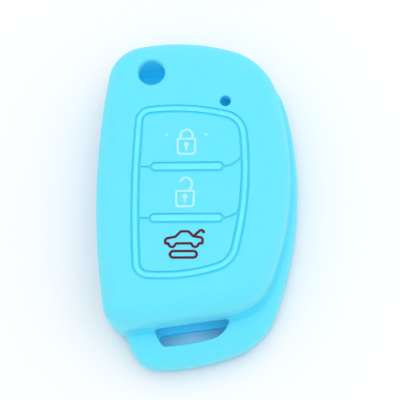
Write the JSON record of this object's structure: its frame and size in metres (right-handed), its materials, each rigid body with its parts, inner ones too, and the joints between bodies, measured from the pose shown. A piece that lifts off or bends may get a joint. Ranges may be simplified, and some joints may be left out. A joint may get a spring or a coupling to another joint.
{
  "type": "key fob cover",
  "caption": "Soft moulded sleeve for a flip key: hollow body with a blade mouth in its side, a release-button hole, a pressable button panel and a key-ring loop.",
  "frame": {"origin": "under the middle of the cover, on the plane that its back lies on", "axes": "+Z out of the front face, +Y along the length towards the release-button end, +X to the right seen from the front"},
  "size_m": [0.0458, 0.0756, 0.0166],
  "materials": {
    "sleeve_silicone": "satin matte moulded silicone, light blue",
    "trim_silicone": "satin matte moulded silicone, light blue",
    "pad_silicone": "satin matte moulded silicone, light blue"
  },
  "bodies": {
    "sleeve": {"sleeve_shell": "sleeve_silicone", "panel_bezel": "trim_silicone", "upper_divider_bar": "trim_silicone", "lower_divider_bar": "trim_silicone"},
    "lock_pad": {"lock_button_pad": "pad_silicone"},
    "unlock_pad": {"unlock_button_pad": "pad_silicone"},
    "boot_pad": {"boot_button_pad": "pad_silicone"}
  },
  "joints": [
    {"name": "lock_pad_press", "type": "slide", "parent": "sleeve", "child": "lock_pad", "axis": [0, 0, -1], "range_m": [0, 0.0004], "stiffness_N_per_m": 1500},
    {"name": "unlock_pad_press", "type": "slide", "parent": "sleeve", "child": "unlock_pad", "axis": [0, 0, -1], "range_m": [0, 0.0004], "stiffness_N_per_m": 1500},
    {"name": "boot_pad_press", "type": "slide", "parent": "sleeve", "child": "boot_pad", "axis": [0, 0, -1], "range_m": [0, 0.0004], "stiffness_N_per_m": 1500}
  ]
}
